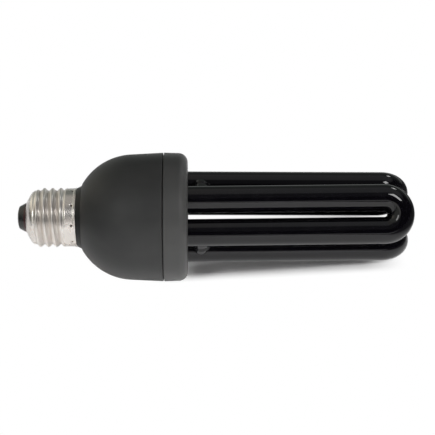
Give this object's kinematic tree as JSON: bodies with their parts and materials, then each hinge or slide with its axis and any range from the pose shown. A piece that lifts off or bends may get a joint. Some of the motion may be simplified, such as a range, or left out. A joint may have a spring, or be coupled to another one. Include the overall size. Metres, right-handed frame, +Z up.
{
  "type": "uv black light bulb",
  "caption": "Compact fluorescent black light lamp with a screw cap, a domed ballast housing, a cover ring and U-bent black glass tubes.",
  "frame": {"origin": "on the ground, under the middle of the lamp's footprint as it lies at rest", "axes": "+X along the lamp from the screw cap to the tube bends, +Z up; the lamp's own axis dips about 6 degrees towards +X, because it rests on its cover ring and on the bend of its lowest tube"},
  "size_m": [0.175, 0.0574, 0.0586],
  "materials": {
    "plated_metal": "polished plating",
    "cap_glass": "gloss",
    "housing_plastic": "satin",
    "black_glass": "gloss",
    "white_cement": "matt",
    "board_laminate": "matt",
    "can_sleeve": "gloss",
    "ferrite": "matt",
    "bobbin_plastic": "matt",
    "copper_wire": "lacquered",
    "case_resin": "matt",
    "film_dip": "gloss",
    "resistor_coat": "matt",
    "tinned_metal": "satin",
    "wire_jacket": "gloss"
  },
  "bodies": {
    "root": {"screw_shell": "plated_metal", "centre_contact": "plated_metal", "cap_insulator": "cap_glass", "ballast_housing": "housing_plastic", "tube_cover": "housing_plastic", "discharge_tube": "black_glass", "tube_cement": "white_cement", "circuit_board": "board_laminate", "smoothing_capacitor": "can_sleeve", "choke_core": "ferrite", "drive_toroid": "ferrite", "choke_bobbin": "bobbin_plastic", "choke_winding": "copper_wire", "transistors": "case_resin", "rectifier_diodes": "case_resin", "resonant_capacitor": "film_dip", "blocking_capacitor": "film_dip", "fuse_resistor": "resistor_coat", "base_resistors": "resistor_coat", "wrap_pins": "tinned_metal", "electrode_leads": "tinned_metal", "live_wire": "wire_jacket", "neutral_wire": "wire_jacket"}
  },
  "joints": []
}
